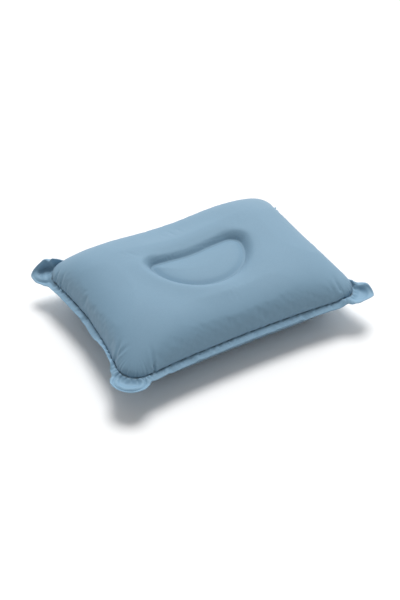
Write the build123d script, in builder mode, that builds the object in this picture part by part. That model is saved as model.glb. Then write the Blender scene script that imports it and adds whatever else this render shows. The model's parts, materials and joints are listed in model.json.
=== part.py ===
from build123d import *
import math
import os

# Inflatable camp pillow, millimetres, +Z up.
# Origin: middle of the footprint, on the surface that the pillow rests on.
# +X runs along the pillow, +Y towards its back long side.

# Air chamber, measured at the seam between the two sheets
half_length = 195.0
half_width = 139.0
corner_radius = 36.0
short_side_pull = 16.0
long_side_pull = 10.0
seam_height = 47.0
top_rise = 49.0
top_edge_zone = 110.0
bottom_edge_zone = 78.0
levels = 7

# Laminated fabric, its seam flange and its corner ears
sheet = 0.5
flange_width = 11.0
ear_x = 187.0
ear_y = 135.5
ear_radius = 26.5
ear_blend = 6.0

# D-shaped weld in the middle, where the internal web holds both sheets
d_x = 3.0
d_y = 22.0
d_radius = 72.0
d_straight = 9.0
d_corner = 9.0
d_top_drop = 14.0
d_bottom_drop = 9.0
d_flare = 9.0

# Internal web
web_wall = 0.4
web_flange = 8.0
web_hole_radius = 9.0
web_holes = 7

# Valve, on a flat of the bottom sheet by the back right corner
valve_centre = (158.7, 104.2, 23.4)
valve_tilt = 30.0
valve_turn = 42.0
base_flange_radius = 21.0
base_flange_thick = 1.2
neck_radius = 16.0
neck_bore = 12.5
neck_height = 5.0
skirt_radius = 12.3
skirt_bore = 10.0
disc_radius = 15.7
seal_section = 0.8
plug_pin_x = 20.0
plug_pin_z = 3.0
plug_pin_radius = 1.2
seat_radius = 8.0
port_radius = 6.5
port_top = 10.0
port_step = 4.5
port_throat = 6.0
stem_radius = 1.2
flap_radius = 7.6
cap_radius = 10.4
cap_pin_x = 13.2
cap_pin_z = 9.4
cap_pin_radius = 0.9
pin_play = 0.05

os.makedirs("parts", exist_ok=True)


def chamber_outline(length, width, radius, short_pull, long_pull):
    """Closed outline with four drawn-in sides and four tangent round corners."""
    short_r = (width**2 + short_pull**2) / (2 * short_pull)
    long_r = (length**2 + long_pull**2) / (2 * long_pull)
    short_c = Vector(length - short_pull + short_r, 0)
    long_c = Vector(0, width - long_pull + long_r)
    # corner circle touches both side arcs from inside the outline
    reach_s = short_r + radius
    reach_l = long_r + radius
    gap = (long_c - short_c).length
    along = (reach_s**2 - reach_l**2 + gap**2) / (2 * gap)
    across = math.sqrt(reach_s**2 - along**2)
    line = (long_c - short_c) / gap
    corner = short_c + line * along + Vector(-line.Y, line.X) * across
    touch_s = corner + (short_c - corner).normalized() * radius
    touch_l = corner + (long_c - corner).normalized() * radius
    middle = corner + Vector(1, 1).normalized() * radius
    with BuildSketch() as outline:
        with BuildLine():
            ThreePointArc(
                (touch_s.X, -touch_s.Y), (length - short_pull, 0), (touch_s.X, touch_s.Y)
            )
            ThreePointArc((touch_s.X, touch_s.Y), (middle.X, middle.Y), (touch_l.X, touch_l.Y))
            ThreePointArc(
                (touch_l.X, touch_l.Y), (0, width - long_pull), (-touch_l.X, touch_l.Y)
            )
            ThreePointArc((-touch_l.X, touch_l.Y), (-middle.X, middle.Y), (-touch_s.X, touch_s.Y))
            ThreePointArc(
                (-touch_s.X, touch_s.Y), (short_pull - length, 0), (-touch_s.X, -touch_s.Y)
            )
            ThreePointArc(
                (-touch_s.X, -touch_s.Y), (-middle.X, -middle.Y), (-touch_l.X, -touch_l.Y)
            )
            ThreePointArc(
                (-touch_l.X, -touch_l.Y), (0, long_pull - width), (touch_l.X, -touch_l.Y)
            )
            ThreePointArc((touch_l.X, -touch_l.Y), (middle.X, -middle.Y), (touch_s.X, -touch_s.Y))
        make_face()
    return outline.sketch


def flange_outline():
    """Outer edge of the welded flange alone."""
    with BuildSketch() as outline:
        add(
            chamber_outline(
                half_length, half_width, corner_radius, short_side_pull, long_side_pull
            )
        )
        offset(amount=flange_width)
    return outline.sketch


def ear_lobes():
    """The four corner ears outside the flange, blended into its edge."""
    with BuildSketch() as lobes:
        add(flange_outline())
        with GridLocations(2 * ear_x, 2 * ear_y, 2, 2):
            Circle(ear_radius)
        notches = lobes.vertices().filter_by(
            lambda v: abs(math.hypot(abs(v.X) - ear_x, abs(v.Y) - ear_y) - ear_radius) < 0.01
        )
        fillet(notches, radius=ear_blend)
        add(flange_outline(), mode=Mode.SUBTRACT)
    return lobes.sketch


def d_outline(grow):
    """The D: a straight back edge and a round front, grown outwards by a distance."""
    radius = d_radius + grow
    straight = d_straight + grow
    half = math.sqrt(radius**2 - straight**2)
    with BuildSketch() as outline:
        with BuildLine():
            Line((d_x + half, d_y + straight), (d_x - half, d_y + straight))
            ThreePointArc(
                (d_x - half, d_y + straight), (d_x, d_y - radius), (d_x + half, d_y + straight)
            )
        make_face()
        fillet(outline.vertices(), radius=d_corner + grow)
    return outline.sketch


def dome(rise, edge_zone, shrink):
    """Half of the inflated chamber, from the seam to its flat crown; rise below zero hangs."""
    side = math.copysign(1, rise)
    with BuildPart() as half:
        for level in range(levels + 1):
            angle = math.radians(90 * level / levels)
            inset = edge_zone * (1 - math.cos(angle))
            fade = 1 - 0.75 * inset / edge_zone
            height = seam_height + (rise - side * shrink) * math.sin(angle)
            radius = min(corner_radius + 0.5 * inset, 0.9 * (half_width - inset))
            with BuildSketch(Plane.XY.offset(height)):
                add(
                    chamber_outline(
                        half_length - inset - shrink,
                        half_width - inset - shrink,
                        radius - shrink,
                        short_side_pull * fade,
                        long_side_pull * fade,
                    )
                )
        loft()
    return half.part


tilt = math.radians(valve_tilt)
turn = math.radians(valve_turn)
valve_plane = Plane(
    origin=valve_centre,
    x_dir=(-math.sin(turn), math.cos(turn), 0),
    z_dir=(
        math.sin(tilt) * math.cos(turn),
        math.sin(tilt) * math.sin(turn),
        -math.cos(tilt),
    ),
)
# Upright plane through the valve's axis: its x is the valve's x, its y the valve's z
valve_section = Plane(
    origin=valve_plane.origin,
    x_dir=valve_plane.x_dir,
    z_dir=valve_plane.y_dir * -1,
)
valve_axis = Axis(valve_plane.origin, valve_plane.z_dir)

top_crest = seam_height + top_rise
top_floor = top_crest - d_top_drop
bottom_floor = d_bottom_drop

# Air space under the top sheet
with BuildPart() as top_cavity:
    add(dome(top_rise, top_edge_zone, sheet))
    with BuildSketch(Plane.XY.offset(top_floor - sheet)):
        add(d_outline(sheet))
    with BuildSketch(Plane.XY.offset(top_crest + 2)):
        add(d_outline(d_flare + sheet))
    loft(mode=Mode.SUBTRACT)

# Top sheet: domed shell with the D pocket, seam flange and both layers of each ear
with BuildPart() as top_sheet:
    add(dome(top_rise, top_edge_zone, 0))
    with BuildSketch(Plane.XY.offset(top_floor)):
        add(d_outline(0))
    with BuildSketch(Plane.XY.offset(top_crest + 2)):
        add(d_outline(d_flare))
    loft(mode=Mode.SUBTRACT)
    with BuildSketch(Plane.XY.offset(seam_height)):
        add(flange_outline())
    extrude(amount=sheet)
    with BuildSketch(Plane.XY.offset(seam_height)):
        add(ear_lobes())
    extrude(amount=sheet, both=True)
    add(top_cavity.part, mode=Mode.SUBTRACT)
top_sheet.part.label = "top_sheet"
export_step(top_sheet.part, "parts/top_sheet.step")

# Air space over the bottom sheet, with the valve's flat
with BuildPart() as bottom_cavity:
    add(dome(-seam_height, bottom_edge_zone, sheet))
    with BuildSketch(Plane.XY.offset(bottom_floor + sheet)):
        add(d_outline(sheet))
    with BuildSketch(Plane.XY.offset(-2)):
        add(d_outline(d_flare + sheet))
    loft(mode=Mode.SUBTRACT)
    split(bisect_by=valve_plane.offset(-sheet), keep=Keep.BOTTOM)

# Bottom sheet: shallower shell that stands on a flat ring round its own D pocket
with BuildPart() as bottom_sheet:
    add(dome(-seam_height, bottom_edge_zone, 0))
    with BuildSketch(Plane.XY.offset(bottom_floor)):
        add(d_outline(0))
    with BuildSketch(Plane.XY.offset(-2)):
        add(d_outline(d_flare))
    loft(mode=Mode.SUBTRACT)
    split(bisect_by=valve_plane, keep=Keep.BOTTOM)
    with BuildSketch(Plane.XY.offset(seam_height)):
        add(flange_outline())
    extrude(amount=-sheet)
    add(bottom_cavity.part, mode=Mode.SUBTRACT)
    with BuildSketch(valve_plane.offset(1)):
        Circle(neck_radius + pin_play)
    extrude(amount=-4, mode=Mode.SUBTRACT)
bottom_sheet.part.label = "bottom_sheet"
export_step(bottom_sheet.part, "parts/bottom_sheet.step")

# Internal web: a D-shaped drum with air holes, welded to both pocket floors
web_top = top_floor - sheet
web_bottom = bottom_floor + sheet
web_middle = (web_top + web_bottom) / 2
with BuildPart() as centre_web:
    with BuildSketch(Plane.XY.offset(web_bottom)):
        add(d_outline(-1))
    extrude(amount=web_top - web_bottom)
    with BuildSketch(Plane.XY.offset(web_bottom + web_wall)):
        add(d_outline(-1 - web_wall))
    extrude(amount=web_top - web_bottom - 2 * web_wall, mode=Mode.SUBTRACT)
    with BuildSketch(Plane.XY.offset(web_bottom)):
        add(d_outline(-web_flange))
    extrude(amount=web_top - web_bottom, mode=Mode.SUBTRACT)
    with Locations((d_x, d_y, web_middle)):
        with PolarLocations(d_radius, web_holes, start_angle=195, angular_range=150, endpoint=True):
            Cylinder(web_hole_radius, 12, rotation=(0, 90, 0), mode=Mode.SUBTRACT)
    with Locations((d_x, d_y + d_straight, web_middle)):
        with GridLocations(44, 0, 3, 1):
            Cylinder(web_hole_radius, 12, rotation=(90, 0, 0), mode=Mode.SUBTRACT)
centre_web.part.label = "centre_web"
export_step(centre_web.part, "parts/centre_web.step")

# Valve base: weld flange inside the sheet, neck through it, and hinge cheeks
with BuildPart() as valve_base:
    with BuildSketch(valve_section):
        with BuildLine():
            Polyline(
                (neck_bore, -sheet - base_flange_thick),
                (base_flange_radius, -sheet - base_flange_thick),
                (base_flange_radius, -sheet),
                (neck_radius, -sheet),
                (neck_radius, neck_height),
                (neck_bore + 0.8, neck_height),
                (neck_bore, neck_height - 0.8),
                close=True,
            )
        make_face()
    revolve(axis=valve_axis)
    for side in (-1, 1):
        with BuildSketch(valve_section.offset(side * 4.1)):
            with BuildLine():
                Polyline(
                    (14.5, 0),
                    (22.4, 0),
                    (22.2, plug_pin_z),
                    (17.8, plug_pin_z),
                    (14.5, 3.6),
                    close=True,
                )
            make_face()
            with Locations((plug_pin_x, plug_pin_z)):
                Circle(2.2)
        extrude(amount=1.1, both=True)
    with BuildSketch(valve_plane):
        with Locations((19.0, 0)):
            Rectangle(7.6, 10.4)
    extrude(amount=0.6)
    with BuildSketch(valve_section):
        with Locations((plug_pin_x, plug_pin_z)):
            Circle(plug_pin_radius + pin_play)
    extrude(amount=6, both=True, mode=Mode.SUBTRACT)
    with BuildSketch(valve_plane.offset(-3)):
        Circle(neck_bore)
    extrude(amount=6, mode=Mode.SUBTRACT)
valve_base.part.label = "valve_base"
export_step(valve_base.part, "parts/valve_base.step")

# Exhaust plug: wide disc and grooved skirt, hinge strap, pull tab and cap lugs
with BuildPart() as exhaust_plug:
    with BuildSketch(valve_section):
        with BuildLine():
            Polyline(
                (seat_radius + pin_play, 5.3),
                (skirt_bore, 5.3),
                (skirt_bore, -0.5),
                (skirt_radius, -0.5),
                (skirt_radius, 1.2),
                (10.8, 1.2),
                (10.8, 3.2),
                (skirt_radius, 3.2),
                (skirt_radius, 5.3),
                (disc_radius, 5.3),
                (disc_radius, 6.6),
                (disc_radius - 0.5, 7.1),
                (seat_radius + pin_play, 7.1),
                close=True,
            )
        make_face()
    revolve(axis=valve_axis)
    with BuildSketch(valve_section):
        with BuildLine():
            Polyline(
                (14.5, 5.3),
                (16.6, 5.3),
                (18.4, plug_pin_z + 0.6),
                (21.8, plug_pin_z + 0.8),
                (20.6, 6.2),
                (18.8, 7.0),
                (14.5, 7.0),
                close=True,
            )
        make_face()
        with Locations((plug_pin_x, plug_pin_z)):
            Circle(2.0)
    extrude(amount=2.7, both=True)
    with BuildSketch(valve_section):
        with Locations((plug_pin_x, plug_pin_z)):
            Circle(plug_pin_radius)
    extrude(amount=5.2, both=True)
    with BuildSketch(valve_plane.offset(5.3)):
        with Locations((-17.5, 0)):
            RectangleRounded(7.0, 10.0, 2.5)
    extrude(amount=1.5)
    for side in (-1, 1):
        with BuildSketch(valve_section.offset(side * 2.9)):
            with BuildLine():
                Polyline(
                    (11.4, 6.8),
                    (14.6, 6.8),
                    (14.8, cap_pin_z),
                    (11.6, cap_pin_z),
                    close=True,
                )
            make_face()
            with Locations((cap_pin_x, cap_pin_z)):
                Circle(1.6)
        extrude(amount=0.7, both=True)
    with BuildSketch(valve_section):
        with Locations((cap_pin_x, cap_pin_z)):
            Circle(cap_pin_radius + pin_play)
    extrude(amount=4, both=True, mode=Mode.SUBTRACT)
exhaust_plug.part.label = "exhaust_plug"
export_step(exhaust_plug.part, "parts/exhaust_plug.step")

# O-ring in the skirt's groove
with BuildPart() as plug_seal:
    with BuildSketch(valve_section):
        with Locations((neck_bore - 0.05 - seal_section, 2.2)):
            Circle(seal_section)
    revolve(axis=valve_axis)
plug_seal.part.label = "plug_seal"
export_step(plug_seal.part, "parts/plug_seal.step")

# Port tube: stepped bore for the nozzle, with a collar that sits on the plug's disc
with BuildPart() as valve_seat:
    with BuildSketch(valve_section):
        with BuildLine():
            Polyline(
                (port_throat, -0.5),
                (seat_radius, -0.5),
                (seat_radius, 7.1),
                (9.6, 7.1),
                (9.6, 7.9),
                (seat_radius, 7.9),
                (seat_radius, port_top - 0.4),
                (seat_radius - 0.4, port_top),
                (port_radius, port_top),
                (port_radius, port_step),
                (port_throat, port_step),
                close=True,
            )
        make_face()
    revolve(axis=valve_axis)
valve_seat.part.label = "valve_seat"
export_step(valve_seat.part, "parts/valve_seat.step")

# Grid pressed into the tube's inner end: a ring, spokes and a hub for the flap's stem
with BuildPart() as valve_grid:
    with BuildSketch(valve_plane.offset(-0.5)):
        Circle(port_throat - 0.03)
        Circle(port_throat - 1.0, mode=Mode.SUBTRACT)
        Circle(2.5)
        with PolarLocations(2.8, 3):
            Rectangle(5.2, 1.4)
    extrude(amount=1.2)
    with BuildSketch(valve_plane.offset(-1)):
        Circle(stem_radius + 0.07)
    extrude(amount=3, mode=Mode.SUBTRACT)
valve_grid.part.label = "valve_grid"
export_step(valve_grid.part, "parts/valve_grid.step")

# Check flap: soft mushroom whose disc closes the throat from inside
with BuildPart() as check_flap:
    with BuildSketch(valve_section):
        with BuildLine():
            Polyline(
                (0, -1.6),
                (flap_radius, -1.6),
                (flap_radius, -1.2),
                (flap_radius - 0.4, -0.8),
                (stem_radius, -0.8),
                (stem_radius, 2.5),
                (1.8, 2.8),
                (1.6, 3.6),
                (0.8, 4.1),
                (0, 4.1),
                close=True,
            )
        make_face()
    revolve(axis=valve_axis)
check_flap.part.label = "check_flap"
export_step(check_flap.part, "parts/check_flap.step")

# Inflation cap: lid that fits over the port tube, with hinge strap and pull tab
with BuildPart() as inflation_cap:
    with BuildSketch(valve_section):
        with BuildLine():
            Polyline(
                (0, 10.4),
                (4.9, 10.4),
                (4.9, 10.6),
                (8.3, 10.6),
                (8.3, 8.2),
                (10.0, 8.2),
                (10.0, 10.4),
                (cap_radius, 10.4),
                (cap_radius, 11.2),
                (cap_radius - 0.4, 11.6),
                (0, 11.6),
                close=True,
            )
        make_face()
    revolve(axis=valve_axis)
    with BuildSketch(valve_section):
        with BuildLine():
            Polyline(
                (9.2, 10.0),
                (11.6, 9.2),
                (14.2, 10.3),
                (12.4, 11.5),
                (9.2, 11.5),
                close=True,
            )
        make_face()
        with Locations((cap_pin_x, cap_pin_z)):
            Circle(1.5)
    extrude(amount=1.9, both=True)
    with BuildSketch(valve_section):
        with Locations((cap_pin_x, cap_pin_z)):
            Circle(cap_pin_radius)
    extrude(amount=3.6, both=True)
    with BuildSketch(valve_plane.offset(10.4)):
        with Locations((-11.8, 0)):
            RectangleRounded(5.6, 6.4, 1.8)
    extrude(amount=1.1)
inflation_cap.part.label = "inflation_cap"
export_step(inflation_cap.part, "parts/inflation_cap.step")

# Gasket washer in the cap's roof
with BuildPart() as cap_gasket:
    with BuildSketch(valve_section):
        with BuildLine():
            Polyline((4.95, 10.1), (8.2, 10.1), (8.2, 10.6), (4.95, 10.6), close=True)
        make_face()
    revolve(axis=valve_axis)
cap_gasket.part.label = "cap_gasket"
export_step(cap_gasket.part, "parts/cap_gasket.step")
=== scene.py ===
import bmesh
import bpy
import json
import math
import numpy as np
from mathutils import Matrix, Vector
from mathutils.geometry import delaunay_2d_cdt
from mathutils.kdtree import KDTree


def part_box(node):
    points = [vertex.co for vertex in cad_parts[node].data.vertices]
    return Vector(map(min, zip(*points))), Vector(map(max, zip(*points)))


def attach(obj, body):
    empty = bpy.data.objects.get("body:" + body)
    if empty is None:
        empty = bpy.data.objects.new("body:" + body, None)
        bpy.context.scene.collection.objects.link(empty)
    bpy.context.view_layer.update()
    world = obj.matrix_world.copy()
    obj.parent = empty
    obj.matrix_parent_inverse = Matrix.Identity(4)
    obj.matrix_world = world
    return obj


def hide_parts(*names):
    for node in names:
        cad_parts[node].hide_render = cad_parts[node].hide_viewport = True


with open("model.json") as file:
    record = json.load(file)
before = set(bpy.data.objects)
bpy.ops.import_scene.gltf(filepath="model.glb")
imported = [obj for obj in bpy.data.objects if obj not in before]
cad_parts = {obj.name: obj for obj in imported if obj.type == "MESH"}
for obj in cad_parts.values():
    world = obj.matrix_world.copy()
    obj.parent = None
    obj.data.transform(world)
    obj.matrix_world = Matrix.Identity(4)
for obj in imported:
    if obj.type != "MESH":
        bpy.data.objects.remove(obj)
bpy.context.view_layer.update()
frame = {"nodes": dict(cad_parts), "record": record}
rng = np.random.RandomState(11)
MM = 0.001

# ---------------------------------------------------------------- sizes, from the frame
_, top_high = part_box("top_sheet")
_, bottom_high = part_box("bottom_sheet")
web_low, web_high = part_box("centre_web")
SEAM = bottom_high[2] / MM                      # height of the seam plane, mm
RISE = (top_high[2] - bottom_high[2]) / MM      # seam to crest
FLANGE = 11.0                                   # width of the welded rim round the chamber
CORNER, PULL_X, PULL_Y = 36.0, 16.0, 10.0       # the chamber's corner radius, and how far its sides pull in
EAR_R = 26.5
EAR_X = top_high[0] / MM - EAR_R
EAR_Y = top_high[1] / MM - EAR_R
HALF_X, HALF_Y = EAR_X + 8.0, EAR_Y + 3.5       # half the chamber's size, at its corners
WEB_GAP, SHEET = 1.0, 0.5                       # from the web's side and its top to the weld line
D_R = (web_high[0] - web_low[0]) / 2 / MM + WEB_GAP
D_X = (web_high[0] + web_low[0]) / 2 / MM
D_Y = web_low[1] / MM - WEB_GAP + D_R
D_TOP = web_high[1] / MM + WEB_GAP - D_Y        # straight edge, above the circle's centre
D_ROUND = 9.0                                   # radius of the D's two corners
D_EYE = D_Y - 18.0                              # from (D_X, D_EYE) the whole D can be seen
RING_TOP = web_high[2] / MM + SHEET - SEAM
RING_BOTTOM = SEAM - web_low[2] / MM + SHEET
SADDLE = 0.80                                   # how far the D's weld draws the sheet round it down
WELD = 1.9                                      # half the width of the D's weld band

# ---------------------------------------------------------------- shapes in plan, mm


def box_distance(qx, qy, radius):
    return np.hypot(np.maximum(qx, 0), np.maximum(qy, 0)) + np.minimum(np.maximum(qx, qy), 0) - radius


def chamber(x, y):
    """Signed distance to the chamber's outline: below zero inside."""
    a = HALF_X - PULL_X * np.clip(1 - (y / HALF_Y) ** 2, 0, 1)
    b = HALF_Y - PULL_Y * np.clip(1 - (x / HALF_X) ** 2, 0, 1)
    return box_distance(np.abs(x) - (a - CORNER), np.abs(y) - (b - CORNER), CORNER)


def rim_shape(x, y):
    """Outer edge of the flange with its ears, joined by small hollow blends."""
    band = chamber(x, y) - FLANGE
    lobe = np.hypot(np.abs(x) - EAR_X, np.abs(y) - EAR_Y) - EAR_R
    blend = 5.0
    mix = np.clip(0.5 + 0.5 * (lobe - band) / blend, 0, 1)
    return lobe * (1 - mix) + band * mix - blend * mix * (1 - mix)


def d_shape(x, y):
    """The D's weld line: its straight edge sags a little, and its right end is rounder than its left."""
    radius = D_ROUND + 9.0 * np.clip((x - D_X + 10) / 60, 0, 1)
    edge = D_TOP - 2.5 - 5.5 * np.exp(-(((x - D_X + 10) / 36) ** 2))
    return box_distance(np.hypot(x - D_X, y - D_Y) - (D_R - radius), (y - D_Y) - (edge - radius), radius)


# Distance over the domed surface against distance in plan, so that the mesh stays even near the seam
EDGE = 105.0                                    # how far in the dome's side is curved
quarter = np.linspace(0, np.pi / 2, 400)
edge_run = EDGE * (1 - np.cos(quarter))
edge_rise = RISE * np.sin(quarter)
edge_arc = np.r_[0, np.cumsum(np.hypot(np.diff(edge_run), np.diff(edge_rise)))]
GROW = edge_arc[-1] - EDGE


def flatten_axis(value, half):
    """Plan coordinate of a point on the unrolled axis; half is the plan half-size."""
    inward = half + GROW - np.abs(value)
    edge = np.where(inward < 0, inward * 0.5, np.interp(inward, edge_arc, edge_run))
    return np.sign(value) * np.where(inward < edge_arc[-1], half - edge, np.abs(value))


def to_plan(px, py):
    """Plan coordinates of points given on the unrolled axes, drawn in where the chamber's sides pull in."""
    x0, y0 = flatten_axis(px, HALF_X), flatten_axis(py, HALF_Y)
    a = HALF_X - PULL_X * (1 - np.clip(y0 / HALF_Y, -1, 1) ** 2)
    b = HALF_Y - PULL_Y * (1 - np.clip(x0 / HALF_X, -1, 1) ** 2)
    return x0 * a / HALF_X, y0 * b / HALF_Y


def contour(shape, cx, cy, step, level=0.0, far=330.0):
    """Evenly spaced points round a level line that can be seen whole from (cx, cy)."""
    turn = np.linspace(0, 2 * np.pi, 16000, endpoint=False)
    low, high = np.zeros_like(turn), np.full_like(turn, far)
    for _ in range(44):
        mid = (low + high) / 2
        inside = shape(cx + mid * np.cos(turn), cy + mid * np.sin(turn)) < level
        low, high = np.where(inside, mid, low), np.where(inside, high, mid)
    p = np.c_[cx + low * np.cos(turn), cy + low * np.sin(turn)]
    closed = np.r_[p, p[:1]]
    run = np.r_[0, np.cumsum(np.hypot(*np.diff(closed, axis=0).T))]
    s = np.linspace(0, run[-1], int(round(run[-1] / step)), endpoint=False)
    return np.c_[np.interp(s, run, closed[:, 0]), np.interp(s, run, closed[:, 1])]


def lattice(half_x, half_y, step, stray):
    """Points of a triangle lattice over a rectangle, each moved by up to stray steps at random."""
    xs = np.arange(-half_x, half_x, step)
    rows = [
        np.c_[xs + (step / 2 if j % 2 else 0), np.full_like(xs, y)]
        for j, y in enumerate(np.arange(-half_y, half_y, step * math.sqrt(0.75)))
    ]
    points = np.concatenate(rows)
    return points + rng.uniform(-stray, stray, points.shape) * step


def triangulate(points, loops):
    """Triangles between the points, which start with closed loops of the given lengths; all face up."""
    edges = []
    start = 0
    for count in loops:
        edges += [(start + i, start + (i + 1) % count) for i in range(count)]
        start += count
    out = delaunay_2d_cdt([Vector(p) for p in points], edges, [], 0, 1e-7)
    v = np.array([tuple(q) for q in out[0]])
    t = np.array([f for f in out[2] if len(f) == 3])
    if len(v) != len(points):
        raise RuntimeError("the outline's points merged")
    a, b, c = v[t[:, 0]], v[t[:, 1]], v[t[:, 2]]
    turn = (b - a)[:, 0] * (c - a)[:, 1] - (b - a)[:, 1] * (c - a)[:, 0]
    t[turn < 0] = t[turn < 0][:, ::-1]
    return t[np.abs(turn) > 1e-9]


def poisson(p, t, fixed, value, push):
    """Solves laplace u = -push on a plane triangle mesh, with u = value at the fixed points."""
    n = len(p)
    a, b, c = p[t[:, 0]], p[t[:, 1]], p[t[:, 2]]
    area = np.abs((b - a)[:, 0] * (c - a)[:, 1] - (b - a)[:, 1] * (c - a)[:, 0]) / 2
    load = push * np.bincount(t.ravel(), np.repeat(area / 3, 3), n)
    rows, cols, vals = [], [], []
    for i in range(3):
        j, k = (i + 1) % 3, (i + 2) % 3
        u, v = p[t[:, j]] - p[t[:, i]], p[t[:, k]] - p[t[:, i]]
        cot = (u * v).sum(1) / np.maximum(np.abs(u[:, 0] * v[:, 1] - u[:, 1] * v[:, 0]), 1e-9) / 2
        rows.append(t[:, j])
        cols.append(t[:, k])
        vals.append(cot)
    row, col, w = np.concatenate(rows), np.concatenate(cols), np.concatenate(vals)
    diagonal = np.bincount(row, w, n) + np.bincount(col, w, n)
    free = ~fixed

    def apply(x):
        y = diagonal * x - np.bincount(row, w * x[col], n) - np.bincount(col, w * x[row], n)
        return np.where(free, y, 0)

    x = np.where(fixed, value, 0.0)
    res = np.where(free, load, 0) - apply(x)
    scale = 1 / np.maximum(diagonal, 1e-9)
    z = res * scale
    d = z.copy()
    rz = first = (res * z).sum()
    for _ in range(900):
        q = apply(d)
        step = rz / (d * q).sum()
        x += step * d
        res -= step * q
        z = res * scale
        new = (res * z).sum()
        if new < 1e-10 * first:
            break
        d = z + new / rz * d
        rz = new
    return x


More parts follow.
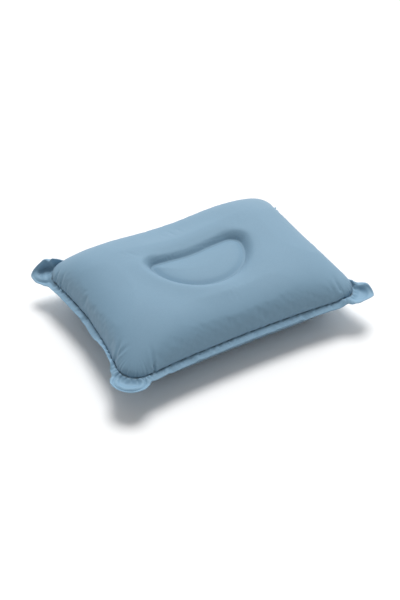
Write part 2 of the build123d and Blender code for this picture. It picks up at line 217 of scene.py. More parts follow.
def inflate():
    """The whole envelope as one welded cloth, blown up: two sheets, the seam flange and its ears."""
    step = 4.0
    seam_param = contour(lambda x, y: chamber(*to_plan(x, y)), 0, 0, step * 0.8)
    seam = np.c_[to_plan(seam_param[:, 0], seam_param[:, 1])]
    rings = [contour(d_shape, D_X, D_EYE, step, -WELD), contour(d_shape, D_X, D_EYE, step, WELD)]
    grid = lattice(270, 220, step, 0.12)
    gx, gy = to_plan(grid[:, 0], grid[:, 1])
    inside = (chamber(gx, gy) < -0.12) & (np.abs(d_shape(grid[:, 0], grid[:, 1])) > WELD + 0.5 * step)
    to_seam = np.hypot(grid[:, :1] - seam_param[None, :, 0], grid[:, 1:] - seam_param[None, :, 1])
    inside &= to_seam.min(1) > 0.55 * step
    param = np.concatenate([seam_param, rings[0], rings[1], grid[inside]])
    n_seam, n_ring = len(seam), len(rings[0]) + len(rings[1])
    tri = triangulate(param, [n_seam, len(rings[0]), len(rings[1])])
    px, py = to_plan(param[:, 0], param[:, 1])
    mid = param[tri].mean(1)
    tri = tri[chamber(*to_plan(mid[:, 0], mid[:, 1])) < 0]
    plan = np.c_[px, py]
    plan[:n_seam] = seam

    fine = step * 0.8
    outer = contour(rim_shape, 0, 0, fine)
    strip = lattice(230, 180, fine, 0.1)
    keep = chamber(strip[:, 0], strip[:, 1]) > 0.5 * fine
    keep &= rim_shape(strip[:, 0], strip[:, 1]) < -0.45 * fine
    flange = np.concatenate([seam, outer, strip[keep]])
    tri_f = triangulate(flange, [n_seam, len(outer)])
    mid = flange[tri_f].mean(1)
    tri_f = tri_f[(chamber(mid[:, 0], mid[:, 1]) > 0) & (rim_shape(mid[:, 0], mid[:, 1]) < 0)]

    # heights of the two sheets before the air goes in
    is_seam = np.arange(len(plan)) < n_seam
    d = d_shape(plan[:, 0], plan[:, 1])
    fixed = is_seam | (d < WELD)
    air = poisson(plan, tri, fixed, np.zeros(len(plan)), 1.0)
    held = poisson(plan, tri, fixed, np.where(d < WELD, 1.0, 0.0), 0.0)
    free = poisson(plan, tri, is_seam, np.zeros(len(plan)), 1.0)

    def blister(ring, crest, lip, bulge):
        """Height of a sheet blown up between the seam and the D's weld, crest at its highest."""
        low, high = 0.0, 10.0
        for _ in range(40):
            push = (low + high) / 2
            tall = np.sqrt(np.maximum(2 * (push * air + held * ring**2 / 2), 0))
            low, high = (push, high) if tall.max() < crest else (low, push)
        loose = np.sqrt(np.maximum(2 * free, 0))
        loose *= crest / loose.max()
        hold = np.exp(-((np.clip(d - WELD, 0, None) / lip) ** 1.25))
        tall = tall + bulge * (1 - hold) * np.exp(-((np.clip(d, 0, None) / 26) ** 2))
        return SADDLE * tall + (1 - SADDLE) * (loose * (1 - hold) + ring * hold)

    puff = 1 - np.exp(-np.clip(-d - WELD, 0, None) / 14.0)
    top = blister(RING_TOP - 0.6, RISE + 0.6, np.where(plan[:, 1] > D_Y + D_TOP - 8, 3.6, 4.2), 9.0)
    low = blister(RING_BOTTOM, RISE + 1.0, 12.0, 0.0)
    top = np.where(d < WELD, RING_TOP - 0.6 + 2.0 * puff, top)
    low = np.where(d < WELD, RING_BOTTOM - 3.0 * puff, low)

    n = len(plan)
    bottom = np.r_[np.arange(n_seam), n + np.arange(n - n_seam)]
    first_f = 2 * n - n_seam
    flap = np.r_[np.arange(n_seam), first_f + np.arange(len(flange) - n_seam)]
    base = np.zeros((first_f + len(flange) - n_seam, 3))
    base[:n] = np.c_[plan, top]
    base[bottom[n_seam:]] = np.c_[plan, -low][n_seam:]
    base[flap[n_seam:], :2] = flange[n_seam:]
    e = np.clip(chamber(flange[:, 0], flange[:, 1]), 0, None)
    lobe = np.hypot(np.abs(flange[:, 0]) - EAR_X, np.abs(flange[:, 1]) - EAR_Y) / EAR_R
    stray = rng.uniform(-0.15, 0.15, len(flange) - n_seam)
    base[flap[n_seam:], 2] = (-0.18 * e * (lobe > 1))[n_seam:] + stray
    base[:n_seam, 2] = 0

    faces = [tuple(map(int, f)) for f in tri]
    faces += [tuple(map(int, bottom[f][::-1])) for f in tri]
    faces += [tuple(map(int, flap[f])) for f in tri_f]
    scale = 10 * MM                             # the cloth is simulated at ten times its size
    mesh = bpy.data.meshes.new("inflating")
    mesh.from_pydata((base * scale).tolist(), [], faces)
    cloth_ob = bpy.data.objects.new("inflating", mesh)
    bpy.context.scene.collection.objects.link(cloth_ob)
    ring = np.arange(n_seam, n_seam + n_ring)
    pins = cloth_ob.vertex_groups.new(name="weld")
    pins.add([int(i) for i in ring] + [int(i) for i in bottom[ring]], 1.0, "REPLACE")
    airtight = cloth_ob.vertex_groups.new(name="air")
    airtight.add(list(range(first_f)), 1.0, "REPLACE")
    bpy.context.view_layer.objects.active = cloth_ob
    cloth = cloth_ob.modifiers.new("Cloth", "CLOTH")
    settings = cloth.settings
    settings.quality = 6
    settings.mass = 0.1
    settings.air_damping = 3.0
    settings.bending_model = "ANGULAR"
    settings.tension_stiffness = settings.compression_stiffness = 40
    settings.shear_stiffness = 20
    settings.bending_stiffness = 0.6
    settings.tension_damping = settings.compression_damping = settings.shear_damping = 8
    settings.use_pressure = True
    settings.uniform_pressure_force = 1.2
    settings.vertex_group_pressure = "air"
    settings.vertex_group_mass = "weld"
    settings.pin_stiffness = 20
    settings.effector_weights.gravity = 0
    cloth.collision_settings.use_collision = False
    cloth.collision_settings.use_self_collision = False
    scene = bpy.context.scene
    last = 16
    cloth.point_cache.frame_start, cloth.point_cache.frame_end = 1, last
    scene.frame_start, scene.frame_end = 1, last
    for f in range(1, last + 1):
        scene.frame_set(f)
    done = cloth_ob.evaluated_get(bpy.context.evaluated_depsgraph_get())
    blown = np.empty(len(base) * 3)
    done.data.vertices.foreach_get("co", blown)
    blown = blown.reshape(-1, 3) / scale
    scene.frame_set(1)
    bpy.data.objects.remove(cloth_ob)
    bpy.data.meshes.remove(mesh)
    return dict(
        base=base, blown=blown, tri=tri, tri_f=tri_f, bottom=bottom, flap=flap, n_seam=n_seam, n_plan=n
    )


def smooth(x, a, b):
    """0 before a, 1 after b, and a soft step between."""
    t = np.clip((x - a) / (b - a), 0, 1)
    return t * t * (3 - 2 * t)


def settle(m):
    """Puts the blown-up outline back where it was, keeps the wrinkles, and caps how far a point moved."""
    base, move, n = m["base"], m["blown"] - m["base"], m["n_seam"]
    seam = base[:n]
    freq = np.fft.rfftfreq(n) * n
    soft = np.fft.irfft(np.fft.rfft(move[:n], axis=0) * np.exp(-((freq / 14.0) ** 2))[:, None], n, axis=0)
    for part in np.array_split(np.arange(len(base)), 12):
        d = np.hypot(base[part, None, 0] - seam[None, :, 0], base[part, None, 1] - seam[None, :, 1])
        w = 1 / (d + 0.4) ** 3
        move[part] -= (w @ soft) / w.sum(1)[:, None]
    size = np.linalg.norm(move, axis=1)
    move *= np.minimum(1, 7.0 / np.maximum(size, 1e-9))[:, None]
    return base + move


class Seam:
    """The welded seam as one closed curve: place along it, and how near a corner that is."""

    def __init__(self, loop):
        closed = np.r_[loop, loop[:1]]
        run = np.r_[0, np.cumsum(np.linalg.norm(np.diff(closed, axis=0), axis=1))]
        self.length = run[-1]
        self.s = np.arange(0, self.length, 0.5)
        self.p = np.c_[tuple(np.interp(self.s, run, closed[:, i]) for i in range(3))]
        self.tree = KDTree(len(self.p))
        for i, q in enumerate(self.p):
            self.tree.insert(q, i)
        self.tree.balance()
        ahead, behind = np.roll(self.p, -16, 0), np.roll(self.p, 16, 0)
        t1, t0 = ahead - self.p, self.p - behind
        turn = np.arctan2(t0[:, 0] * t1[:, 1] - t0[:, 1] * t1[:, 0], (t0[:, :2] * t1[:, :2]).sum(1))
        bend = np.clip(turn / 8.0, 0, None) * CORNER
        place = np.arange(len(bend))
        kernel = np.exp(-(np.minimum(place, len(bend) - place) / 14.0) ** 2)
        soft = np.fft.irfft(np.fft.rfft(bend) * np.fft.rfft(kernel / kernel.sum()), len(bend))
        self.corner = smooth(soft, 0.25, 0.8)

    def find(self, points):
        index = np.empty(len(points), int)
        gap = np.empty(len(points))
        for i, q in enumerate(points):
            _, index[i], gap[i] = self.tree.find(q)
        return index, gap


def wobble(s, seed, length):
    """A smooth closed random line along the seam, about -1 to 1."""
    r = np.random.RandomState(seed)
    out = np.zeros_like(s)
    for k, a in ((7, 0.5), (13, 0.4), (29, 0.35), (47, 0.25), (83, 0.15)):
        out += a * np.sin(2 * np.pi * k * s / length + r.uniform(0, 6.28))
    return out


def gathers(seam, s, gap, corner, seed):
    """How far the sheet stands out near the seam: gathers at corners, puckers on the sides, a soft roll."""
    L = seam.length
    count = round(L / 4.5)
    phase = np.pi * (count * s / L + 1.1 * wobble(s, 3 + seed, L))
    depth = 0.75 + 0.45 * wobble(s, 5 + seed, L)
    reach = 13 + 6 * wobble(s, 8 + seed, L)
    fade = np.exp(-((gap / reach) ** 1.3)) * (1 - np.exp(-gap / 1.3))
    out = 3.3 * corner * depth * fade * (np.abs(np.sin(phase)) ** 0.6 - 0.8)
    count = round(L / 11.5)
    phase = np.pi * (count * s / L + 0.65 * wobble(s, 4 + seed, L))
    depth = 0.7 + 0.6 * wobble(s, 6 + seed, L)
    reach = 6.5 + 3.5 * wobble(s, 9 + seed, L)
    fade = np.exp(-((gap / np.maximum(reach, 2)) ** 1.2)) * (1 - np.exp(-gap / 1.3))
    out += 1.3 * (1 - 0.7 * corner) * depth * fade * (np.abs(np.sin(phase)) ** 0.6 - 0.75)
    out += 2.0 * (gap / 4.0) * np.exp(1 - gap / 4.0) * (1 - 0.4 * corner)
    return out


# Folds start deep at the seam, and wrinkles fade at both ends: from x, y, to x, y, half-width, depth
FOLDS = (
    (-186, -95, -167, -79, 1.9, 3.0), (-186, -97, -162, -97, 1.7, 2.4), (-149, -137, -141, -110, 1.7, 3.0),
    (157.5, -131, 158.5, -106, 3.2, 1.8), (146, -131, 146, -114, 2.6, 1.0),
    (-193, 97, -176, 109, 1.8, 2.8), (-191, 84, -172, 94, 1.7, 2.4), (-188, 70, -174, 76, 1.5, 1.4),
)
WRINKLES = (
    (-1, -74, -4, -108, 1.7, 0.42), (6, -76, 4, -110, 1.7, 0.45), (-6, 98, -5, 62, 1.9, 0.7),
    (8, 98, 9, 64, 1.8, 0.7), (-20, 94, -18, 66, 1.7, 0.45), (13, -72, 12, -104, 1.7, 0.3),
)
# The seam is pinched here: place x, y, pull x, y, radius
PINCHES = ((-186, -96, 2.8, 1.2, 5.0), (157.6, -131, 0.2, 2.6, 7.0), (-192, 96, 1.8, -0.4, 5.0))


def folds(points):
    """How far the folds and wrinkles press the sheet in: each is a groove with a low bank on either side."""
    out = np.zeros(len(points))
    for group, start, full, ebb in ((FOLDS, -0.05, 0.06, 0.2), (WRINKLES, 0, 0.3, 0.4)):
        for x0, y0, x1, y1, width, depth in group:
            run = math.hypot(x1 - x0, y1 - y0)
            ax, ay = (x1 - x0) / run, (y1 - y0) / run
            t = ((points[:, 0] - x0) * ax + (points[:, 1] - y0) * ay) / run
            u = (points[:, 1] - y0) * ax - (points[:, 0] - x0) * ay
            w = width * (0.7 + 0.6 * np.clip(t, 0, 1))
            section = np.exp(-((u / w) ** 2)) - 0.4 * np.exp(-(((np.abs(u) - 2.3 * w) / (1.3 * w)) ** 2))
            fade = smooth(t, start, full) * (1 - smooth(t, ebb, 1.0))
            out -= depth * fade * section
    return out


def pinch(points):
    out = points.copy()
    for x, y, px, py, radius in PINCHES:
        square = (points[:, 0] - x) ** 2 + (points[:, 1] - y) ** 2 + (points[:, 2] - SEAM) ** 2
        w = np.exp(-(square / radius**2))
        out[:, 0] += px * w
        out[:, 1] += py * w
    return out


def new_object(name, verts, faces):
    mesh = bpy.data.meshes.new(name)
    mesh.from_pydata((np.asarray(verts) * MM).tolist(), [], [tuple(map(int, f)) for f in faces])
    ob = bpy.data.objects.new(name, mesh)
    bpy.context.scene.collection.objects.link(ob)
    return ob


def subdivide(ob):
    sub = ob.modifiers.new("Subdivision", "SUBSURF")
    sub.levels = sub.render_levels = 1
    mesh = bpy.data.meshes.new_from_object(ob.evaluated_get(bpy.context.evaluated_depsgraph_get()))
    ob.modifiers.clear()
    old, ob.data = ob.data, mesh
    bpy.data.meshes.remove(old)
    mesh.name = ob.name


def get_co(ob):
    co = np.empty(len(ob.data.vertices) * 3)
    ob.data.vertices.foreach_get("co", co)
    return co.reshape(-1, 3) / MM


def set_co(ob, co):
    ob.data.vertices.foreach_set("co", (co * MM).ravel())
    ob.data.update()


def get_edges(ob):
    edges = np.empty(2 * len(ob.data.edges), int)
    ob.data.edges.foreach_get("vertices", edges)
    return edges.reshape(-1, 2)


def get_normals(ob):
    out = np.empty(len(ob.data.vertices) * 3)
    ob.data.vertices.foreach_get("normal", out)
    return out.reshape(-1, 3)


def neighbour_sum(edges, values):
    """For each vertex, the values of the vertices that it shares an edge with, added up."""
    total = np.zeros_like(values)
    for i, column in enumerate(values.T):
        total[:, i] = np.bincount(edges[:, 0], column[edges[:, 1]], len(values))
        total[:, i] += np.bincount(edges[:, 1], column[edges[:, 0]], len(values))
    return total


def refine(ob, seam, reach=27.0, weld=0.0):
    """Halves the mesh's edges within 11 mm of the seam, reach at its corners, and within weld of the D."""
    co = get_co(ob)
    index, gap = seam.find(co)
    fine = gap < np.where(seam.corner[index] > 0.01, reach, 11.0)
    fine |= np.abs(d_shape(co[:, 0], co[:, 1])) < weld
    bm = bmesh.new()
    bm.from_mesh(ob.data)
    bm.verts.ensure_lookup_table()
    edges = [e for e in bm.edges if fine[e.verts[0].index] and fine[e.verts[1].index]]
    bmesh.ops.subdivide_edges(bm, edges=edges, cuts=1, use_grid_fill=True, smooth=0.0)
    bm.to_mesh(ob.data)
    bm.free()


def shade(ob):
    ob.data.polygons.foreach_set("use_smooth", [True] * len(ob.data.polygons))
    ob.data.update()


made = inflate()
settled = settle(made)
n_plan, n_seam = made["n_plan"], made["n_seam"]
top_x, top_y, top_z = settled[:n_plan].T
top_z = top_z * RISE / top_z.max()
# the sheet sags between the D and the back edge, and stands fuller at the back left
for change, x, y, wide, deep in ((-9.0, -8, 92, 76, 34), (3.5, -150, 88, 34, 34)):
    top_z = top_z + change * np.exp(-(((top_x - x) / wide) ** 2) - ((top_y - y) / deep) ** 2)
top_z = np.where(d_shape(top_x, top_y) < 14, np.maximum(top_z, RING_TOP + 0.9), top_z)

# the seam line, which keeps 0.3 of the waves that the air gave it
seam_z = settled[:n_seam, 2] * 0.3 + SEAM
seam = Seam(np.c_[settled[:n_seam, :2], seam_z])

top_points = np.c_[top_x, top_y, top_z + SEAM]
low_points = settled[made["bottom"]] + (0, 0, SEAM)
low_z = low_points[:, 2]
low_points[:, 2] = np.where(low_z < 12, 0.5 * (low_z + np.sqrt(low_z**2 + 12.0)), low_z)
flap_points = settled[made["flap"]] + (0, 0, SEAM)
for points in (top_points, low_points, flap_points):
    points[:n_seam, 2] = seam_z

# ---------------------------------------------------------------- top sheet


def ease_wall(co, edges, d):
    """Evens out the sheet round the D's weld, in place."""
    valence = np.bincount(edges.ravel(), minlength=len(co))[:, None]
    ease = (smooth(d, WELD + 0.3, WELD + 3) * (1 - smooth(d, 20, 34)))[:, None] * 0.5
    for _ in range(8):
        co += ease * (neighbour_sum(edges, co) / valence - co)


def profile_d(co, d):
    """Shapes the sheet by the D, in place: its wall, highest at the front left, and its puffed floor."""
    from_x, from_y = co[:, 0] - D_X, co[:, 1] - D_EYE
    facing = (from_x * -0.75 + from_y * -0.66) / np.maximum(np.hypot(from_x, from_y), 1)
    out = np.clip(d - WELD, 0, None)
    wall = 3.6 + 5.6 * smooth(facing, 0.15, 0.9)
    co[:, 2] += wall * (1 - np.exp(-out / 5.0)) * np.exp(-((out / 26) ** 2))
    co[:, 2] += 5.4 * (1 - np.exp(-np.clip(-d - WELD, 0, None) / 12.0))
    # then, outside the weld and inside it, one curve at each angle from the weld to the height at reach
    angle = np.arctan2(from_y, from_x)
    bins = np.linspace(-np.pi, np.pi, 361)
    at_weld = RING_TOP + SEAM + 0.4
    for side, power, reach in ((1, 2.4, 22.0), (-1, 1.4, 13.0)):
        belt = np.abs(side * d - reach) < 1.6
        turn = (angle[belt][None, :] - bins[:, None] + np.pi) % (2 * np.pi) - np.pi
        weight = np.exp(-((turn / 0.06) ** 2))
        height = (weight @ co[belt, 2]) / np.maximum(weight.sum(1), 1e-9)
        t = np.clip((side * d - WELD) / (reach - WELD), 0, 1)
        curve = at_weld + (np.interp(angle, bins, height) - at_weld) * (1 - (1 - t) ** power)
        hold = np.where(side * d > 0, 1 - smooth(side * d, 0.4 * reach, 0.95 * reach), 0)
        co[:, 2] += hold * (curve - co[:, 2])


def crumple(co, normal, edges):
    """Gathers and folds the top sheet along its normals, all a little smoothed, and pinches the seam."""
    valence = np.bincount(edges.ravel(), minlength=len(co))
    index, gap = seam.find(co)
    lift = gathers(seam, seam.s[index], gap, seam.corner[index], 0) + folds(co) * smooth(gap, 0, 2)
    for _ in range(5):
        near = neighbour_sum(edges, lift[:, None])[:, 0]
        lift = np.where(gap > 0.2, 0.5 * lift + 0.5 * near / valence, lift)
    for _ in range(3):
        total = neighbour_sum(edges, normal)
        normal = total / np.maximum(np.linalg.norm(total, axis=1), 1e-9)[:, None]
    return pinch(co + normal * lift[:, None])


def make_top(points):
    ob = new_object("pillow_top", points, made["tri"])
    subdivide(ob)
    refine(ob, seam, weld=15.0)
    co, edges = get_co(ob), get_edges(ob)
    d = d_shape(co[:, 0], co[:, 1])
    ease_wall(co, edges, d)
    profile_d(co, d)
    set_co(ob, co)
    set_co(ob, crumple(co, get_normals(ob), edges))
    shade(ob)
    return ob


# ---------------------------------------------------------------- bottom sheet, flat where it rests
PORT_RISE = 7.25                                # middle of the inflation port's bore above the sheet
HOLE_R = 16.05                                  # radius of the hole in the sheet for the valve
FLAT_R, BLEND_R = 24.0, 46.0                    # flat round the valve out to one, as blown from the other


def fit_valve(co):
    """Flattens the sheet under the valve. Returns it, and which points were drawn out to the hole's edge."""
    port = next(m for m in frame["record"]["mounts"] if m["name"] == "inflation_port")
    axis = np.array(port["axis"])
    centre = np.array(port["pos_m"]) / MM - PORT_RISE * axis
    side_x = np.cross([0.0, 0.0, 1.0], axis)
    side_x /= np.linalg.norm(side_x)
    side_y = np.cross(axis, side_x)
    local = (co - centre) @ np.c_[side_x, side_y, axis]
    radius = np.hypot(local[:, 0], local[:, 1])
    near = (np.abs(local[:, 2]) < 30) & (radius < 60)
    hold = np.where(near, 1 - smooth(radius, FLAT_R, BLEND_R), 0)
    co = co - axis * (local[:, 2] * hold)[:, None]
    hole = near & (radius < HOLE_R)
    spoke = (local[:, :1] * side_x + local[:, 1:2] * side_y) / np.maximum(radius, 1e-6)[:, None]
    return np.where(hole[:, None], centre + spoke * HOLE_R, co), hole


def make_bottom(points):
    ob = new_object("pillow_bottom", points, made["tri"][:, ::-1])
    subdivide(ob)
    refine(ob, seam)
    co, normal = get_co(ob), get_normals(ob)
    index, gap = seam.find(co)
    lift = gathers(seam, seam.s[index], gap, seam.corner[index], 20)
    co, hole = fit_valve(pinch(co + normal * lift[:, None]))
    bm = bmesh.new()
    bm.from_mesh(ob.data)
    for v in bm.verts:
        v.co = Vector(co[v.index]) * MM
    inner = [f for f in bm.faces if all(hole[v.index] for v in f.verts)]
    bmesh.ops.delete(bm, geom=inner, context="FACES")
    bm.to_mesh(ob.data)
    bm.free()
    co = get_co(ob)
    co[:, 2] = np.maximum(co[:, 2] - 0.5 * (1 - smooth(co[:, 2], 0, 12)), 0.02)     # down to the ground
    set_co(ob, co)
    shade(ob)
    return ob


# ---------------------------------------------------------------- seam flange with the four ears
BACK = np.array([0.49, 0.87])                   # the way that counts as an ear's far side
EARS = (                                        # signs of the ear's corner, and how shape_ear bends it
    (-1, 1, dict(droop=0.12, back_rise=20.0, front_rise=-5.0, pull=0.85, ruffle=0.8, band=0.6)),
    (-1, -1, dict(droop=0.03, back_rise=2.0, front_rise=1.0, pull=0.5, ruffle=2.6, band=1.6, short=6.0)),
    (1, -1, dict(droop=0.02, back_rise=9.0, front_rise=6.0, pull=0.6, ruffle=1.4, band=0.6, short=2.0)),
    (1, 1, dict(droop=0.64, back_rise=0.0, front_rise=0.0, pull=0.0, ruffle=1.2, band=0.8, short=6.0)),
)


def ripple_flange(co, gap, s, corner):
    """Waves the rim between the ears, turns it up at the left and lets it droop elsewhere, in place."""
    L = seam.length
    phase = 2 * np.pi * (round(L / 11.5) * s / L + 0.325 * wobble(s, 4, L))
    ripple = np.sin(phase) * (0.5 + 0.5 * wobble(s, 31, L))
    left = smooth(-co[:, 0], 150, 180)
    turned = left * smooth(-co[:, 1], 20, 70) * (1 - smooth(-co[:, 1], 92, 104)) * (1 - corner)
    co[:, 2] += turned * 0.75 * gap
    co[:, 0] += turned * 0.30 * gap
    tall = (1 - corner) * (0.7 + 0.8 * left)
    co[:, 2] += tall * ripple * smooth(gap, 0.5, 3) * np.exp(-(((gap - 3) / 5) ** 2))
    front = smooth(-co[:, 1], 90, 130)
    co[:, 2] -= (1 - corner) * gap * (0.16 + 0.04 * front)


def shape_ear(co, gap, s, sx, sy, droop, back_rise, front_rise, pull, ruffle, band, short=0.0):
    """Bends one ear, in place: droops from the weld, far and near rims curl up, with folds beside the weld.

    pull draws a curled rim in, short draws the whole ear in, and band is the height of its round emboss."""
    out = np.array([sx * 0.72, sy * 0.69])
    out /= np.linalg.norm(out)
    across = np.array([-out[1], out[0]])
    d = co[:, :2] - np.array([sx * EAR_X, sy * EAR_Y])
    u = d @ across
    r = np.hypot(d @ out, u)
    on = (r < EAR_R + 20) & (gap > 0)
    w = on * (1 - smooth(np.abs(u), 20, 37)) * (1 - smooth(r, 29, 44)) * smooth(gap, 0, 5)
    rim = smooth(r, 8, EAR_R)
    far = smooth((d @ BACK) / EAR_R, -0.25, 0.75)
    near = smooth(-(d @ BACK) / EAR_R, -0.1, 0.9)
    co[:, 2] += w * (-droop * gap + rim * (back_rise * far + front_rise * near))
    tuck = pull * rim * (far * abs(back_rise) + near * abs(front_rise)) / np.maximum(r, 1)
    co[:, :2] -= (w * tuck)[:, None] * d
    co[:, :2] -= (w * short * gap / 27)[:, None] * out
    fold = np.abs(np.sin(np.pi * s / 6.3 + 0.6 * wobble(s, 77, seam.length)))
    co[:, 2] += w * ruffle * (fold - 0.5) * np.exp(-(((gap - 3.5) / 4.0) ** 2))
    co[:, 2] += w * band * (np.exp(-(((r - 17.5) / 2.6) ** 2)) - 0.7 * np.exp(-(((r - 22.5) / 1.2) ** 2)))


def ease_rim(ob, co, gap):
    """Takes the small steps out of the flange's outer edge, in place."""
    bm = bmesh.new()
    bm.from_mesh(ob.data)
    rim = np.array([(e.verts[0].index, e.verts[1].index) for e in bm.edges if e.is_boundary])
    bm.free()
    rim = rim[(gap[rim] > 4).all(1)]
    ends = np.maximum(np.bincount(rim.ravel(), minlength=len(co)), 1)[:, None]
    for _ in range(14):
        co += 0.5 * np.where(ends > 1, neighbour_sum(rim, co) / ends - co, 0)


def make_flange(points):
    ob = new_object("seam_flange", points, made["tri_f"])
    subdivide(ob)
    refine(ob, seam, reach=40.0)
    co = get_co(ob)
    index, gap = seam.find(co)
    s = seam.s[index]
    ripple_flange(co, gap, s, seam.corner[index])
    for sx, sy, bend in EARS:
        shape_ear(co, gap, s, sx, sy, **bend)
    co = pinch(co)
    ease_rim(ob, co, gap)
    set_co(ob, co)
    shade(ob)
    thick = ob.modifiers.new("Two layers", "SOLIDIFY")
    thick.thickness = 0.9 * MM
    thick.offset = 0
    thick.use_even_offset = False
    return ob


pillow_top = make_top(top_points)
pillow_bottom = make_bottom(low_points)
seam_flange = make_flange(flap_points)

# ---------------------------------------------------------------- materials


class Nodes:
    """Short helper for node trees."""

    def __init__(self, name):
        self.material = bpy.data.materials.new(name)
        self.material.use_nodes = True
        self.tree = self.material.node_tree
        self.shader = self.tree.nodes["Principled BSDF"]

    def add(self, kind, inputs=None, **settings):
        node = self.tree.nodes.new(kind)
        for key, value in settings.items():
            setattr(node, key, value)
        for key, value in (inputs or {}).items():
            if isinstance(value, bpy.types.NodeSocket):
                self.tree.links.new(value, node.inputs[key])
            else:
                node.inputs[key].default_value = value
        return node

    def math(self, operation, a, b=0.0, c=0.0):
        return self.add("ShaderNodeMath", {0: a, 1: b, 2: c}, operation=operation).outputs[0]

    def link(self, value, socket):
        self.tree.links.new(value, self.shader.inputs[socket])

    def mix(self, factor, a, b):
        node = self.add("ShaderNodeMix", data_type="RGBA")
        node.clamp_factor = True
        for i, value in ((0, factor), (6, a), (7, b)):
            if isinstance(value, bpy.types.NodeSocket):
                self.tree.links.new(value, node.inputs[i])
            else:
                node.inputs[i].default_value = value
        return node.outputs[2]


def linear(r, g, b):
    """A display colour, 0 to 255, as the shader's linear one."""
    return (*[((v / 255 + 0.055) / 1.055) ** 2.4 if v > 10 else v / 255 / 12.92 for v in (r, g, b)], 1.0)


def tint(colour, gain):
    return tuple(min(1.0, v * gain) for v in colour[:3]) + (1.0,)


YARN = 0.00055                                  # spacing of the weave, metres


def fabric(name, colour, weave=1.0, pressed=0.0, rough=0.66):
    """Coated plain weave with slubs and cloudy colour; pressed is the emboss of a weld's tool."""
    n = Nodes(name)
    place = n.add("ShaderNodeTexCoord").outputs["Object"]
    split = n.add("ShaderNodeSeparateXYZ", {0: place})
    pitch = 2 * math.pi / YARN
    waves = [n.math("SINE", n.math("MULTIPLY", split.outputs[i], pitch)) for i in range(3)]
    yarn = n.math("ADD", n.math("ADD", waves[0], waves[1]), waves[2])
    yarn = n.math("MULTIPLY_ADD", yarn, 0.17, 0.5)
    cloud = n.add("ShaderNodeTexNoise", {"Vector": place, "Scale": 9.0, "Detail": 3.0, "Roughness": 0.55})
    slub = n.add("ShaderNodeTexNoise", {"Vector": place, "Scale": 420.0, "Detail": 2.0, "Roughness": 0.6})
    dust = n.add("ShaderNodeTexNoise", {"Vector": place, "Scale": 75.0, "Detail": 4.0, "Roughness": 0.6})
    tone = n.math("MULTIPLY_ADD", cloud.outputs["Fac"], 0.55, n.math("MULTIPLY", slub.outputs["Fac"], 0.45))
    tone = n.math("MULTIPLY_ADD", n.math("SUBTRACT", yarn, 0.5), 0.12 * weave, tone)
    # painted shade in the seam's crease, which takes the cloth down to 0.36 of its colour, and the D's
    # pressed weld a little darker as its own tone
    crease_shade = n.add("ShaderNodeAttribute", attribute_name="crease_shade_and_weld_tone").outputs["Fac"]
    cloth = n.mix(tone, tint(colour, 0.90), tint(colour, 1.08))
    n.link(n.mix(crease_shade, cloth, tint(colour, 0.36)), "Base Color")
    n.link(n.math("MULTIPLY_ADD", dust.outputs["Fac"], 0.12, rough - 0.06), "Roughness")
    height = n.math("MULTIPLY_ADD", slub.outputs["Fac"], 0.5, n.math("MULTIPLY", yarn, weave))
    if pressed:
        slant = n.math("MULTIPLY", n.math("ADD", split.outputs[0], split.outputs[1]), pitch * 0.4)
        height = n.math("ADD", height, n.math("MULTIPLY", n.math("SINE", slant), pressed))
    bump = n.add("ShaderNodeBump", {"Height": height, "Strength": 0.3, "Distance": 0.00005})
    n.link(bump.outputs[0], "Normal")
    n.shader.inputs["Sheen Weight"].default_value = 0.18
    n.shader.inputs["Sheen Roughness"].default_value = 0.45
    n.shader.inputs["Sheen Tint"].default_value = (0.85, 0.93, 1.0, 1.0)
    n.shader.inputs["Specular IOR Level"].default_value = 0.35
    return n.material


def plastic(name, colour, rough, grain=900.0, bump=0.15):
    """Moulded plastic, film or rubber: a fine grain, and colour and gloss that vary a little."""
    n = Nodes(name)
    place = n.add("ShaderNodeTexCoord").outputs["Object"]
    fine = n.add("ShaderNodeTexNoise", {"Vector": place, "Scale": grain, "Detail": 3.0, "Roughness": 0.6})
    broad = n.add("ShaderNodeTexNoise", {"Vector": place, "Scale": 60.0, "Detail": 2.0, "Roughness": 0.5})
    n.link(n.mix(broad.outputs["Fac"], tint(colour, 0.92), colour), "Base Color")
    n.link(n.math("MULTIPLY_ADD", broad.outputs["Fac"], 0.10, rough - 0.05), "Roughness")
    b = n.add("ShaderNodeBump", {"Height": fine.outputs["Fac"], "Strength": bump, "Distance": 0.0001})
    n.link(b.outputs[0], "Normal")
    return n.material


def wear(ob, material):
    ob.data.materials.clear()
    ob.data.materials.append(material)


BLUE = linear(118, 150, 172)
film = plastic("web_film", linear(196, 208, 214), rough=0.5, grain=500.0)
valve_grey = plastic("valve_plastic", linear(74, 80, 86), rough=0.38, bump=0.2)
cap_grey = plastic("cap_plastic", linear(58, 63, 69), rough=0.36, bump=0.2)
rubber = plastic("seal_rubber", linear(38, 38, 40), rough=0.62, bump=0.3)
silicone = plastic("flap_silicone", linear(198, 204, 206), rough=0.45, bump=0.1)

wear(pillow_top, fabric("shell_fabric_top", BLUE))
wear(pillow_bottom, fabric("shell_fabric_bottom", tint(BLUE, 0.97)))
# the rim's colour is 1.2 times the sheets': painted light for its flat band, which faces up to the light;
# its weave and pressed emboss are real
wear(seam_flange, fabric("shell_fabric_welded_painted_lighter", tint(BLUE, 1.20), weave=0.7, pressed=0.5, rough=0.58))


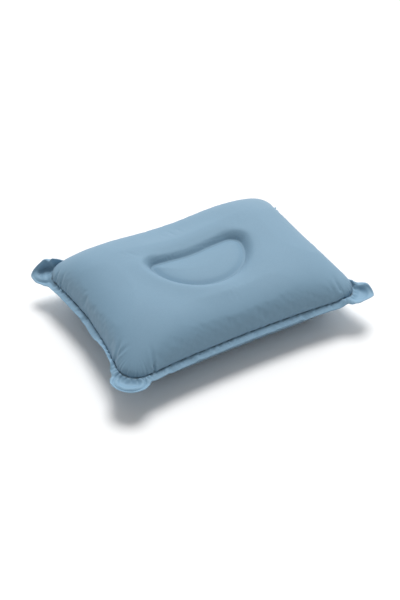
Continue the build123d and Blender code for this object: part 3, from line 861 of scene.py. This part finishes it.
def paint_crease_shade_and_welds(ob):
    """Paints shade into the crease along the seam, in uneven dashes, and darkens the D's pressed weld a
    little as its own tone.
    """
    co = get_co(ob)
    index, gap = seam.find(co)
    s, L = seam.s[index], seam.length
    dash = 0.72 + 0.5 * np.sin(2 * np.pi * round(L / 17) * s / L + 2.2 * wobble(s, 12, L))
    # painted shade along the seam's crease, darkest at the seam and broken into dashes
    shade_and_weld = (1 - smooth(gap, 0.4, 3.2)) * np.clip(dash, 0.3, 1)
    shade_and_weld = np.maximum(shade_and_weld, 0.14 * (1 - smooth(np.abs(d_shape(co[:, 0], co[:, 1])), WELD - 0.4, WELD + 1.2)))
    ob.data.attributes.new("crease_shade_and_weld_tone", "FLOAT", "POINT").data.foreach_set("value", shade_and_weld.astype(np.float32))


for ob in (pillow_top, pillow_bottom, seam_flange):
    paint_crease_shade_and_welds(ob)

CAD_LOOKS = dict(
    centre_web=film, valve_base=valve_grey, exhaust_plug=valve_grey, plug_seal=rubber, valve_seat=cap_grey,
    valve_grid=cap_grey, check_flap=silicone, inflation_cap=cap_grey, cap_gasket=rubber,
)
for node, material in CAD_LOOKS.items():
    wear(frame["nodes"][node], material)

# ---------------------------------------------------------------- what each piece is
for ob, nodes in (
    (pillow_top, ["top_sheet"]),
    (pillow_bottom, ["bottom_sheet"]),
    (seam_flange, ["top_sheet", "bottom_sheet"]),
):
    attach(ob, "envelope")
    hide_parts(*nodes)

# ---------------------------------------------------------------- floor, light and camera
FLOOR, FLOOR_Z = 3000.0, -0.5                   # half its size, and its height just under the pillow
corners = [(x * FLOOR, y * FLOOR, FLOOR_Z) for x, y in ((-1, -1), (1, -1), (1, 1), (-1, 1))]
floor = new_object("floor", corners, [(0, 1, 2, 3)])
n = Nodes("floor")
place = n.add("ShaderNodeTexCoord").outputs["Object"]
speck = n.add("ShaderNodeTexNoise", {"Vector": place, "Scale": 2.0, "Detail": 2.0})
n.link(n.mix(speck.outputs["Fac"], (0.93, 0.93, 0.93, 1), (0.95, 0.95, 0.95, 1)), "Base Color")
n.shader.inputs["Roughness"].default_value = 0.9
n.shader.inputs["Specular IOR Level"].default_value = 0.1
floor.data.materials.append(n.material)

# name, direction of travel, strength, angle across in degrees: the key, and a broader light from behind
for name, direction, energy, spread in (
    ("key", (-0.30, -0.38, -1.05), 2.1, 28),
    ("back_light", (-0.60, -0.80, -0.75), 1.35, 70),
):
    sun_data = bpy.data.lights.new(name, "SUN")
    sun_data.energy = energy
    sun_data.angle = math.radians(spread)
    sun = bpy.data.objects.new(name, sun_data)
    sun.rotation_mode = "QUATERNION"
    sun.rotation_quaternion = Vector(direction).to_track_quat("-Z", "Y")
    bpy.context.scene.collection.objects.link(sun)
world = bpy.data.worlds.new("studio")
world.use_nodes = True
world.node_tree.nodes["Background"].inputs[0].default_value = (1, 1, 1, 1)
world.node_tree.nodes["Background"].inputs[1].default_value = 0.36
bpy.context.scene.world = world
bpy.context.scene.view_settings.view_transform = "Standard"

azimuth, elevation, distance = math.radians(-29.39), math.radians(39.6), 1.647
level = math.cos(elevation)
back = Vector((math.sin(azimuth) * level, -math.cos(azimuth) * level, math.sin(elevation)))
camera_data = bpy.data.cameras.new("camera")
camera = bpy.data.objects.new("camera", camera_data)
bpy.context.scene.collection.objects.link(camera)
camera_data.lens = 66.9
camera_data.sensor_width = 36
camera_data.shift_x, camera_data.shift_y = -0.00175, -0.0300833
camera.location = Vector((0, 0, SEAM * MM)) + back * distance
camera.rotation_mode = "QUATERNION"
camera.rotation_quaternion = (-back).to_track_quat("-Z", "Y")
camera_data.clip_start, camera_data.clip_end = 0.05, 20
bpy.context.scene.camera = camera
